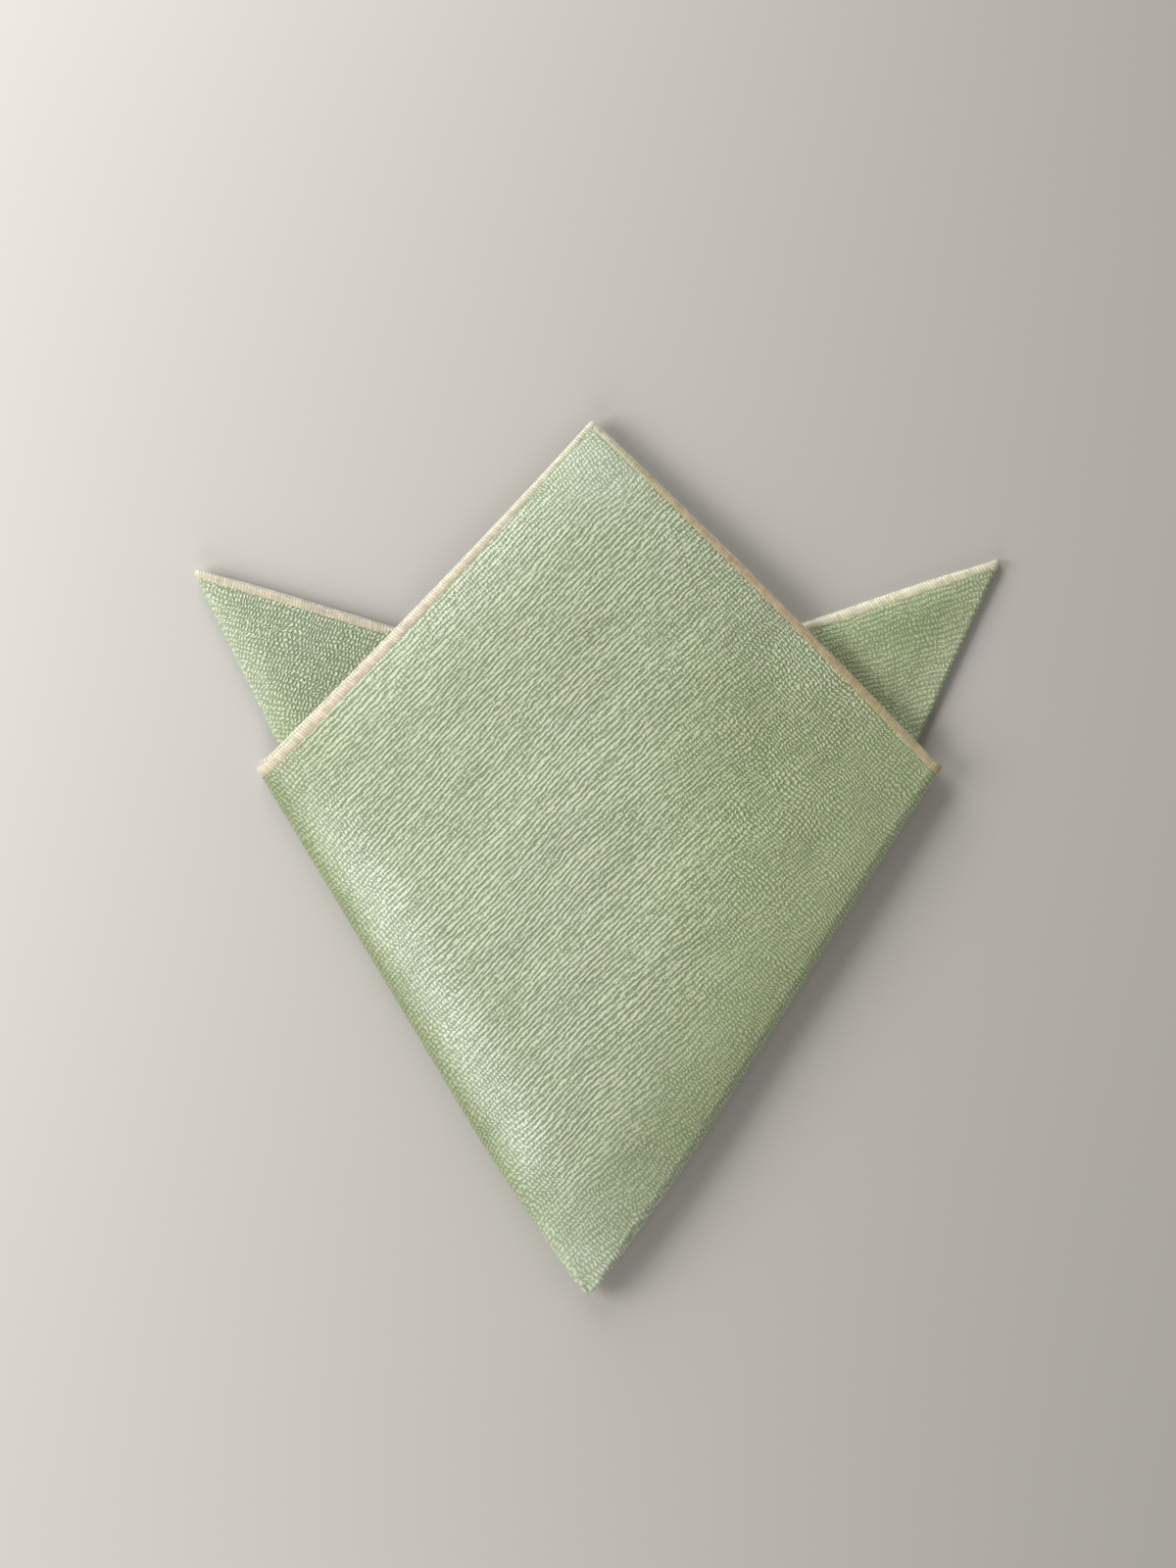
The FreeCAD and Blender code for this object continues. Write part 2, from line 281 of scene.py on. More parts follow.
class Quarter:
    """One quarter of the flat square, and where its side fold and its ear's crease take up cloth.

    half is +1 for the front of the square and -1 for its back. A flat point is (u, v): u runs from the tip to
    the ear's corner and v to the apex. full grows from 0 at the tip to 1, as the stack opens to its height.
    """

    def __init__(self, wing, half):
        self.wing = wing
        self.half = half
        self.panel_height, self.wing_height = wing.heights[half]
        self.radius = abs(self.panel_height - self.wing_height) / 2
        self.across = math.pi * self.radius
        self.ear_across = math.pi * wing.ear_radius / 2
        self.along = np.array([math.sin(wing.angle), math.cos(wing.angle)])
        s, c = self.along
        self.fold_end = HALF_DIAGONAL * s / (s + c)
        self.vertex = np.array([(self.across + self.ear_across * s) / c, self.ear_across])
        hem_start = (self.across + HALF_DIAGONAL * s) / (s + c)
        self.hem_start = np.array([hem_start, HALF_DIAGONAL - hem_start])

    def lay_panel(self, u, v, full):
        """The panel, from the centre line to the side fold."""
        wing = self.wing
        to_fold = u / self.fold_end
        to_apex = (v - to_fold * (HALF_DIAGONAL - self.fold_end)) / HALF_DIAGONAL
        along = to_apex + to_fold
        across = to_fold / np.maximum(along, TINY)
        return (
            np.multiply.outer(to_apex, APEX)
            + np.multiply.outer(to_fold, wing.axis)
            + np.multiply.outer(across * full, wing.axis_start)
            + np.multiply.outer(side_swell(wing, along) * across**2, wing.out)
            + panel_slip(wing, self.half, across, along)
            + np.multiply.outer(panel_hem_bow(wing, across, along), panel_edges(wing)[1])
        )

    def lay_side_fold(self, u, v, roll, share, full, bend):
        """The roll round the side fold. roll goes from 0 on the panel to 1 on the wing."""
        wing = self.wing
        s, c = self.along
        along = u * s + v * c
        start, end = self.vertex @ self.along, self.hem_start @ self.along
        down = mix(along / (HALF_DIAGONAL / (s + c)), (along - share * start) / (end - start), roll)
        out = side_swell(wing, down) + bend * full * np.cos(math.pi / 2 - math.pi * roll)
        return (
            np.multiply.outer(full, wing.axis_start)
            + np.multiply.outer(down, wing.axis)
            + np.multiply.outer(out, wing.out)
            + panel_slip(wing, self.half, 1.0, down)
        )

    def lay_wing(self, u, v, share, full):
        """The wing behind, from the side fold to the crease of the ear."""
        wing = self.wing
        ear_end = np.array([HALF_DIAGONAL - self.ear_across, self.vertex[1]])
        basis = np.array([self.hem_start - self.vertex, ear_end - self.vertex]).T
        local = np.stack([u - share * self.vertex[0], v - share * self.vertex[1]], axis=-1)
        to_hem, to_ear = np.moveaxis(local @ np.linalg.inv(basis).T, -1, 0)
        along = np.maximum(to_hem + to_ear, TINY)
        across = np.clip(to_ear / along, 0, 1)
        return (
            np.multiply.outer(to_hem, wing.axis)
            + np.multiply.outer(to_ear, wing.ear)
            + np.multiply.outer((1 - across) * full, wing.axis_start)
            + np.multiply.outer(side_swell(wing, along) * (1 - across) ** 2, wing.out)
            + np.multiply.outer(ear_bow(wing, along) * across**2, wing.ear_out)
            + np.multiply.outer(hem_sag(wing, self.half, across) * along**SAG_NEAR_HEM, hem_inward(wing))
            + panel_slip(wing, self.half, 1.0, along) * (1 - ease(across, 0.0, SLIP_FADES_BY))[..., None]
        )

    def lay_ear_crease(self, u, crease, share, full, bend):
        """The crease down the outer edge of the ear. crease goes from 0 on its edge to 1 on the wing."""
        wing = self.wing
        flat_length = HALF_DIAGONAL - self.ear_across - self.vertex[0]
        down = mix(u / HALF_DIAGONAL, (u - share * self.vertex[0]) / flat_length, crease)
        return (
            np.multiply.outer(down, wing.ear)
            + np.multiply.outer(ear_bow(wing, down), wing.ear_out)
            + np.multiply.outer(bend * full * np.cos(crease * math.pi / 2), wing.ear_out)
        )


# the tip is blunt: the stack is thin there and soon opens to its full height
TIP_WIDENS = 10.5 * MM
TIP_BLUNTNESS = 0.65
TIP_FADES = 12 * MM
TIP_DROPS = 0.2 * MM


def fold_quarter(wing, half, u, v, lift):
    """Folds flat points of one quarter. lift is the height above the cloth's middle, on its right side."""
    quarter = Quarter(wing, half)
    from_tip = np.hypot(u, v)
    share = np.maximum(roll_share(from_tip), TINY)
    full = (1 - np.exp(-from_tip / TIP_WIDENS)) ** TIP_BLUNTNESS
    beyond = u * math.cos(wing.angle) - v * math.sin(wing.angle)
    roll = np.clip(beyond / (quarter.across * share), 0, 1)
    crease = np.clip(v / (quarter.ear_across * share), 0, 1)
    bend = quarter.radius + half * lift
    ear_bend = wing.ear_radius + lift

    places = [beyond <= 0, (beyond > 0) & (roll < 1), (roll >= 1) & (crease < 1)]
    plans = [
        quarter.lay_panel(u, v, full),
        quarter.lay_side_fold(u, v, roll, share, full, bend),
        quarter.lay_ear_crease(u, crease, share, full, ear_bend),
    ]
    heights = [
        quarter.panel_height + half * lift,
        wing.axis_height + bend * np.cos(math.pi * roll),
        wing.ear_height - half * ear_bend * np.sin(crease * math.pi / 2),
    ]
    plan = np.select([place[..., None] for place in places], plans, quarter.lay_wing(u, v, share, full))
    height = np.select(places, heights, quarter.wing_height - half * lift)
    plan[..., 1] -= (TIP_RADIUS + TIP_DROPS) * np.exp(-from_tip / TIP_FADES)
    height = MID_HEIGHT + (height - MID_HEIGHT) * full
    return np.concatenate([plan, height[..., None]], axis=-1)


# The folded stack is soft: its front bellies up, shallow waves run through it, and its free points droop.

CROWN = np.array([-20 * MM, 119 * MM])
SIDE_EDGES = {1: 34 * MM, -1: 18 * MM}
HEM_EDGES = {1: 20 * MM, -1: 13 * MM}
EAR_DOME = 1.8 * MM
EAR_DOME_EDGE = 6 * MM
DROOP = 2.4 * MM
DROOP_START = 148 * MM
FLOOR_GIVE = 0.2 * MM
WAVES = (
    (0.16 * MM, 71 * MM, 0.3, 0.4),
    (0.13 * MM, 47 * MM, 1.2, 2.1),
    (0.10 * MM, 33 * MM, 2.3, 4.0),
    (0.07 * MM, 21 * MM, 2.9, 1.3),
)


def rise(plan, point, outward, edge):
    """How far a soft dome has risen at plan points, from 0 on a line through point to 1 well inside it."""
    within = (point - plan) @ outward
    return 1 - np.exp(-np.maximum(within, 0) / edge)


def round_rise(plan, point, outward, width):
    """The same for a side fold, which rounds over as a quarter of an ellipse, this wide."""
    within = np.clip((point - plan) @ outward / width, 0, 1)
    return np.sqrt(within * (2 - within))


def panel_dome(plan):
    """How far the panel bellies up, quickly at the left and more slowly at the right."""
    dome = 1.0
    for wing in WINGS.values():
        corner, outward = panel_edges(wing)
        outermost = wing.axis_start + wing.out * (wing.radius + wing.swell)
        dome = dome * round_rise(plan, outermost, wing.out, SIDE_EDGES[wing.toward])
        dome = dome * rise(plan, corner, outward, HEM_EDGES[wing.toward])
    return dome


def settle(points):
    """The soft lie of the folded stack. Its underside evens out on the floor and never goes below it."""
    plan = points[..., :2] - TIP
    height = points[..., 2]
    pair = np.clip(np.floor(height / PAIR_PITCH), 0, 2)
    dome = panel_dome(plan) / panel_dome(CROWN)
    wave = 0.0
    for size, length, direction, phase in WAVES:
        run = plan @ np.array([math.cos(direction), math.sin(direction)])
        wave = wave + size * np.sin(2 * math.pi * run / length + phase)
    lift = (SWELL * dome + wave * np.sqrt(dome)) * height / STACK
    for wing in WINGS.values():
        corner, outward = panel_edges(WINGS[-wing.toward])
        ear = rise(plan, corner, -outward, EAR_DOME_EDGE)
        ear = ear * rise(plan, wing.ear, wing.ear_out, EAR_DOME_EDGE)
        ear = ear * rise(plan, wing.ear, -hem_inward(wing), EAR_DOME_EDGE)
        upper = np.clip((height - pair * PAIR_PITCH) / PAIR_HEIGHT, 0, 1)
        lift = lift + EAR_DOME * ear * upper * (pair < 2)
    droop = DROOP * pair / 2 * ease(plan[..., 1], DROOP_START, APEX_REACH)
    free = height + lift - droop
    settled = points.copy()
    settled[..., 2] = (free + np.hypot(free, FLOOR_GIVE)) / 2
    return settled


def fold(flat, lift):
    """Where points of the flat square lie once it is folded, in metres in the part's frame."""
    x, y = flat[..., 0], flat[..., 1]
    lift = np.broadcast_to(lift, x.shape)
    folded = np.zeros(x.shape + (3,))
    for toward, wing in WINGS.items():
        for half in (1, -1):
            inside = (np.where(x < 0, -1, 1) == toward) & (np.where(y < 0, -1, 1) == half)
            folded[inside] = fold_quarter(wing, half, np.abs(x[inside]), np.abs(y[inside]), lift[inside])
    folded[..., :2] += TIP
    return settle(folded)


# The mesh goes round the tip in rings, with a right side and a wrong side half a millimetre apart.

TUCK = 0.8 * MM
RING_STEP = 2.6 * MM
TIP_RINGS = np.array([0.5, 1.0, 1.6, 2.3, 3.1, 4.0, 5.0, 6.1, 7.4, 9.0, 11.0]) * MM
FOLD_SHARE = 0.74
STRIP_COUNTS = {1: (34, 14, 40, 4), -1: (16, 8, 40, 4)}
CLOSER_TO_FOLD = 1.6


def strip_places(wing, half, reach):
    """Places along a quarter's edge, from apex to corner, that put the mesh's lines on the folds."""
    quarter = Quarter(wing, half)
    s, c = quarter.along
    share = roll_share(reach * FOLD_SHARE)
    ends = [
        0.0,
        s / (s + c),
        (quarter.across * share / reach + s) / (s + c),
        1 - quarter.ear_across * share / reach,
        1.0,
    ]
    places = [np.linspace(0, 1, n, endpoint=False) for n in STRIP_COUNTS[half]]
    places[0] = 1 - (1 - places[0]) ** CLOSER_TO_FOLD
    placed = [a + (b - a) * place for a, b, place in zip(ends, ends[1:], places)]
    return np.concatenate(placed + [[1.0]])


def flat_ring(reach):
    """One ring of the flat square round its middle, from the front apex by the right."""
    quarters = []
    for toward, half in ((1, 1), (1, -1), (-1, -1), (-1, 1)):
        place = strip_places(WINGS[toward], half, reach)
        quarter = np.stack([toward * place, half * (1 - place)], axis=-1) * reach
        outward = (toward == 1) == (half == 1)
        quarters.append(quarter[:-1] if outward else quarter[::-1][:-1])
    return np.concatenate(quarters)


def cloth_mesh():
    """The folded cloth as one closed skin: its points, the flat place of each, and its faces."""
    last = HALF_DIAGONAL * (1 - TUCK / (SIDE / 2))
    steady = np.arange(TIP_RINGS[-1] + RING_STEP, last - RING_STEP / 2, RING_STEP)
    reaches = np.concatenate([TIP_RINGS, steady, [last]])
    flat = np.stack([flat_ring(reach) for reach in reaches])
    rings, around = flat.shape[:2]
    points, places, faces = [], [], []
    for sign in (1, -1):
        skin = fold(flat, sign * CLOTH / 2).reshape(-1, 3)
        pole = fold(np.array([[0.0, 0.0]]), 0.0)
        pole[0, 1] += CLOTH if sign == -1 else 0
        points += [pole, skin]
        places += [np.zeros((1, 2)), flat.reshape(-1, 2)]
        base = 0 if sign == 1 else 1 + rings * around
        first = base + 1 + np.arange(around)
        after = base + 1 + (np.arange(around) + 1) % around
        for i, j in zip(first, after):
            faces.append((base, j, i)[::sign])
        for ring in range(rings - 1):
            step = ring * around
            for i, j in zip(first + step, after + step):
                faces.append((i, j, j + around, i + around)[::sign])
    outer = 1 + (rings - 1) * around
    inner = outer + 1 + rings * around
    for k in range(around):
        n = (k + 1) % around
        faces.append((outer + k, outer + n, inner + n, inner + k))
    return np.concatenate(points), np.concatenate(places), faces


def make_piece(name, points, faces, maps):
    """A mesh object with smooth faces. maps holds UV maps by name, with one place for every face corner."""
    mesh = bpy.data.meshes.new(name)
    mesh.from_pydata(points.tolist(), [], [tuple(int(i) for i in f) for f in faces])
    mesh.validate()
    mesh.polygons.foreach_set("use_smooth", np.ones(len(mesh.polygons), bool))
    for map_name, places in maps.items():
        uv = mesh.uv_layers.new(name=map_name)
        uv.uv.foreach_set("vector", places.astype(np.float32).ravel())
    piece = bpy.data.objects.new(name, mesh)
    bpy.context.scene.collection.objects.link(piece)
    return piece


# (middle, size) of each side of the cloth on the second map
BAKED_RIGHT = ((0.4675, 0.4675), 0.915)
BAKED_WRONG = ((0.965, 0.48), (0.05, 0.90))
RIM_SPREAD = 1.05


def unlapped(flat, corners, rim_count):
    """A second map with nothing lapped: the right side large, the wrong side and the rim in a strip by it."""
    middle = np.array(BAKED_WRONG[0])
    turned = np.stack([flat[:, 0] + flat[:, 1], flat[:, 0] - flat[:, 1]], axis=-1) / math.sqrt(2) / SIDE
    right = np.array(BAKED_RIGHT[0]) + turned * BAKED_RIGHT[1]
    wrong = middle + turned * BAKED_WRONG[1]
    on_right = np.arange(len(flat)) < len(flat) // 2
    places = np.where(on_right[:, None], right, wrong)[corners]
    rim = wrong[corners[-4 * rim_count :]].reshape(rim_count, 4, 2)
    rim[:, :2] = middle + (rim[:, :2] - middle) * RIM_SPREAD
    places[-4 * rim_count :] = rim.reshape(-1, 2)
    return places


def add_node(tree, kind, inputs, **settings):
    """Adds a node. Each input is a value to set or a socket to link from."""
    made = tree.nodes.new(kind)
    for name, value in settings.items():
        setattr(made, name, value)
    for key, value in inputs.items():
        if isinstance(value, bpy.types.NodeSocket):
            tree.links.new(value, made.inputs[key])
        else:
            made.inputs[key].default_value = value
    return made


def work_out(tree, operation, *values):
    """A Math node's result."""
    return add_node(tree, "ShaderNodeMath", dict(enumerate(values)), operation=operation).outputs[0]


def scaled(tree, vector, along, across):
    """A place on the cloth, stretched for a pattern that repeats over these two lengths."""
    scale = (1 / along, 1 / across, 1.0)
    inputs = {0: vector, 1: scale}
    return add_node(tree, "ShaderNodeVectorMath", inputs, operation="MULTIPLY").outputs[0]


def blend(tree, share, first, second, how="MIX"):
    """A mix of two colours, each a value to set or a socket to link from."""
    made = add_node(tree, "ShaderNodeMix", {0: share, 6: first, 7: second}, data_type="RGBA", blend_type=how)
    return made.outputs[2]


def noise(tree, vector, detail=1.0):
    """Soft noise from 0 to 1, with features about as large as the vector's unit."""
    inputs = {"Vector": vector, "Scale": 1.0, "Detail": detail, "Roughness": 0.5}
    return add_node(tree, "ShaderNodeTexNoise", inputs).outputs["Fac"]


def swing(tree, value, reach):
    """Turns noise from 0 to 1 into a shift to both sides of nothing."""
    return work_out(tree, "MULTIPLY", work_out(tree, "SUBTRACT", value, 0.5), 2 * reach)


def wave(tree, count):
    """A smooth wave from 0 to 1, one for each whole number of count, lowest at the whole number."""
    turned = work_out(tree, "COSINE", work_out(tree, "MULTIPLY", count, 2 * math.pi))
    return work_out(tree, "MULTIPLY_ADD", turned, -0.5, 0.5)


RIB_PITCH = 1.2 * MM
THREAD_PITCH = 0.9 * MM

# as shares of a rib's height: what grains fill its valleys by, how high the cross threads stand over it, and
# how deep they can cut it
GRAIN_FILLS = 0.24
CROSS_LINES = 0.30
DEEPEST_CUT = 0.95

# the weave's uneven parts: their length along the ribs and across them, and how far they move or lift it
RIB_WANDER = (26 * MM, 18 * MM, 1.1 * MM)
RIB_JITTER = (3.0 * MM, 1.5 * MM, 0.56 * MM)
RIB_HEAVE = (13 * MM, 16 * MM, 2.6 * MM)
THREAD_LEAN = (12 * MM, 14 * MM, 2.2 * MM)
THREAD_DRIFT = (2.2 * MM, 1.2 * MM, 0.65 * MM)
SLUBS = (2.4 * MM, 0.60 * MM, 0.50)
FUZZ = (0.70 * MM, 0.42 * MM, 0.85)
BROKEN_PATCH = (13 * MM, 6 * MM)
MOTTLED_PATCH = (30 * MM, 9 * MM)


def uneven(tree, place, part):
    """Soft noise over the cloth for one of the weave's uneven parts, to both sides of nothing."""
    along, across, reach = part
    return swing(tree, noise(tree, scaled(tree, place, along, across)), reach)


def rib_group():
    """The crepe-like weave: uneven ribs, the finer threads across them, and grains where both are alike."""
    tree = bpy.data.node_groups.new("woven_ribs", "ShaderNodeTree")
    face = tree.interface
    face.new_socket("Place", in_out="INPUT", socket_type="NodeSocketVector")
    face.new_socket("Grain", in_out="INPUT", socket_type="NodeSocketFloat")
    face.new_socket("Crosswise", in_out="INPUT", socket_type="NodeSocketFloat")
    face.new_socket("In Step", in_out="INPUT", socket_type="NodeSocketFloat")
    face.new_socket("Height", in_out="OUTPUT", socket_type="NodeSocketFloat")
    face.new_socket("Crest", in_out="OUTPUT", socket_type="NodeSocketFloat")
    face.new_socket("Mottle", in_out="OUTPUT", socket_type="NodeSocketFloat")
    given = tree.nodes.new("NodeGroupInput").outputs
    result = tree.nodes.new("NodeGroupOutput").inputs

    # the map is turned to run with the threads, and the two threads change places where it is crosswise
    place = add_node(tree, "ShaderNodeSeparateXYZ", {0: given["Place"]}).outputs
    turned = 1 / math.sqrt(2)
    warp = work_out(tree, "MULTIPLY", work_out(tree, "ADD", place[0], place[1]), turned)
    weft = work_out(tree, "MULTIPLY", work_out(tree, "SUBTRACT", place[0], place[1]), turned)
    along = add_node(tree, "ShaderNodeMix", {0: given["Crosswise"], 2: warp, 3: weft}).outputs[0]
    across = add_node(tree, "ShaderNodeMix", {0: given["Crosswise"], 2: weft, 3: warp}).outputs[0]
    on_cloth = add_node(tree, "ShaderNodeCombineXYZ", {0: along, 1: across}).outputs[0]

    # the ribs wander and jitter, and heave about where the cloth is grainy
    wander = uneven(tree, on_cloth, RIB_WANDER)
    heave = work_out(tree, "MULTIPLY", uneven(tree, on_cloth, RIB_HEAVE), given["Grain"])
    wander = work_out(tree, "ADD", wander, heave)
    jitter = uneven(tree, on_cloth, RIB_JITTER)
    rib_place = work_out(tree, "ADD", across, work_out(tree, "ADD", wander, jitter))
    rib_count = work_out(tree, "DIVIDE", rib_place, RIB_PITCH)
    rib = wave(tree, rib_count)
    lowest = work_out(tree, "MULTIPLY", given["Grain"], GRAIN_FILLS)
    rib = add_node(tree, "ShaderNodeMapRange", {"Value": rib, "To Min": lowest}).outputs["Result"]

    # each rib is bound by cross threads, out of step with those of its neighbours
    rib_number = {"W": work_out(tree, "FLOOR", rib_count)}
    step = add_node(tree, "ShaderNodeTexWhiteNoise", rib_number, noise_dimensions="1D").outputs["Value"]
    lean = uneven(tree, on_cloth, THREAD_LEAN)
    drift = uneven(tree, on_cloth, THREAD_DRIFT)
    moved = work_out(tree, "ADD", along, work_out(tree, "ADD", lean, drift))
    bead_place = work_out(tree, "DIVIDE", moved, THREAD_PITCH)
    out_of_step = work_out(tree, "MULTIPLY", step, work_out(tree, "SUBTRACT", 1.0, given["In Step"]))
    bead = wave(tree, work_out(tree, "ADD", bead_place, out_of_step))
    cross_lines = work_out(tree, "MULTIPLY", swing(tree, bead, CROSS_LINES), given["In Step"])

    # in patches, and more so where the cloth is grainy, the ribs are cut through between the threads
    patches = noise(tree, scaled(tree, on_cloth, *BROKEN_PATCH))
    broken = {"Value": patches, "From Min": 0.50, "From Max": 0.66, "To Min": 0.0, "To Max": 0.35}
    broken = add_node(tree, "ShaderNodeMapRange", broken).outputs["Result"]
    cut = work_out(tree, "MINIMUM", work_out(tree, "ADD", broken, given["Grain"]), DEEPEST_CUT)
    gaps = work_out(tree, "MULTIPLY", cut, work_out(tree, "SUBTRACT", 1.0, bead))
    bound = work_out(tree, "SUBTRACT", 1.0, gaps)
    slubs = uneven(tree, on_cloth, SLUBS)
    fuzz = uneven(tree, on_cloth, FUZZ)
    rough_ribs = work_out(tree, "ADD", work_out(tree, "MULTIPLY", rib, bound), slubs)
    height = work_out(tree, "ADD", work_out(tree, "ADD", rough_ribs, fuzz), cross_lines)
    tree.links.new(height, result["Height"])
    crest = {"Value": height, "From Min": 0.05, "From Max": 0.95}
    made = add_node(tree, "ShaderNodeMapRange", crest, interpolation_type="SMOOTHSTEP")
    tree.links.new(made.outputs["Result"], result["Crest"])
    mottle = noise(tree, scaled(tree, on_cloth, *MOTTLED_PATCH), 3.0)
    tree.links.new(mottle, result["Mottle"])
    return tree


RELIEF = 0.16 * MM
CREST_MIDDLE = 0.45
FLAT_CONTRAST = 0.45
MOTTLE_DARK = 0.94
MOTTLE_LIGHT = 1.05
# the valley green is partly the weave's own colour and partly painted shade between the ribs
VALLEY_GREEN = (0.215, 0.262, 0.150, 1)
CREST_GREEN = (0.535, 0.585, 0.430, 1)
# tint of the painted shade
PAINTED_SHADE_TINT = (0.62, 0.64, 0.53, 1)
# tint of the painted light
PAINTED_LIGHT_TINT = (1.22, 1.19, 1.33, 1)
# tint of the warm painted shade
PAINTED_WARM_SHADE_TINT = (0.88, 0.905, 0.74, 1)


def cloth_finish():
    """The cloth: dark between the ribs (dye and painted shade), pale on them, a little mottled, with a soft
    sheen and painted light and shade.
    """
    material = bpy.data.materials.new("ribbed_cloth")
    material.use_nodes = True
    tree = material.node_tree
    shader = tree.nodes["Principled BSDF"]
    weave = tree.nodes.new("ShaderNodeGroup")
    weave.node_tree = rib_group()
    place = add_node(tree, "ShaderNodeUVMap", {}, uv_map="flat").outputs["UV"]
    masks = {
        name: add_node(tree, "ShaderNodeAttribute", {}, attribute_name=name).outputs["Fac"]
        for name in ("grain", "crosswise", "in_step", "relief", "painted_shade", "painted_light", "painted_warm_shade")
    }
    tree.links.new(place, weave.inputs["Place"])
    tree.links.new(masks["grain"], weave.inputs["Grain"])
    tree.links.new(masks["crosswise"], weave.inputs["Crosswise"])
    tree.links.new(masks["in_step"], weave.inputs["In Step"])
    # valleys dark and crests pale: partly the weave's own colour, partly painted shade in the valleys
    spread = work_out(tree, "MULTIPLY_ADD", masks["relief"], 1 - FLAT_CONTRAST, FLAT_CONTRAST)
    off_middle = work_out(tree, "SUBTRACT", weave.outputs["Crest"], CREST_MIDDLE)
    crest = work_out(tree, "MULTIPLY_ADD", off_middle, spread, CREST_MIDDLE)
    dye_with_painted_shading = blend(tree, crest, VALLEY_GREEN, CREST_GREEN)
    mottle = {"Value": weave.outputs["Mottle"], "From Min": 0.3, "From Max": 0.7}
    mottle = mottle | {"To Min": MOTTLE_DARK, "To Max": MOTTLE_LIGHT}
    level = add_node(tree, "ShaderNodeMapRange", mottle).outputs["Result"]
    dye_with_painted_shading = add_node(tree, "ShaderNodeVectorMath", {0: dye_with_painted_shading, "Scale": level}, operation="SCALE").outputs[0]
    # painted shade, painted light and warm painted shade, each multiplied over the colour where its mask says
    for name, shade in (("painted_shade", PAINTED_SHADE_TINT), ("painted_light", PAINTED_LIGHT_TINT), ("painted_warm_shade", PAINTED_WARM_SHADE_TINT)):
        dye_with_painted_shading = blend(tree, masks[name], dye_with_painted_shading, shade, "MULTIPLY")
    tree.links.new(dye_with_painted_shading, shader.inputs["Base Color"])
    rough = {"Value": weave.outputs["Crest"], "To Min": 0.85, "To Max": 0.55}
    roughness = add_node(tree, "ShaderNodeMapRange", rough).outputs["Result"]
    tree.links.new(roughness, shader.inputs["Roughness"])
    relief = work_out(tree, "MULTIPLY", weave.outputs["Height"], masks["relief"])
    bump = {"Height": relief, "Strength": 1.0, "Distance": RELIEF}
    tree.links.new(add_node(tree, "ShaderNodeBump", bump).outputs["Normal"], shader.inputs["Normal"])
    shader.inputs["Specular IOR Level"].default_value = 0.5
    shader.inputs["Sheen Weight"].default_value = 0.25
    shader.inputs["Sheen Roughness"].default_value = 0.45
    return material


# The masks say where the weave breaks into grains, turns crosswise or falls into step, how high it stands,
# and where painted shade, painted light and a warm painted shade are laid on the colour.

LEFT_EAR_CREASE = RIGHT_WING.ear + RIGHT_WING.ear_out * RIGHT_WING.ear_radius
RIGHT_EAR_CREASE = LEFT_WING.ear + LEFT_WING.ear_out * LEFT_WING.ear_radius
PLAIN = {"grain": 0.2, "relief": 1.0, "painted_shade": 0.0, "painted_light": 0.0, "painted_warm_shade": 0.4, "in_step": 0.3}


def from_fold(plan, wing):
    """How far plan points lie in from the outermost line of a side fold."""
    outermost = wing.axis_start + wing.out * (wing.radius + wing.swell)
    return (outermost - plan) @ wing.out


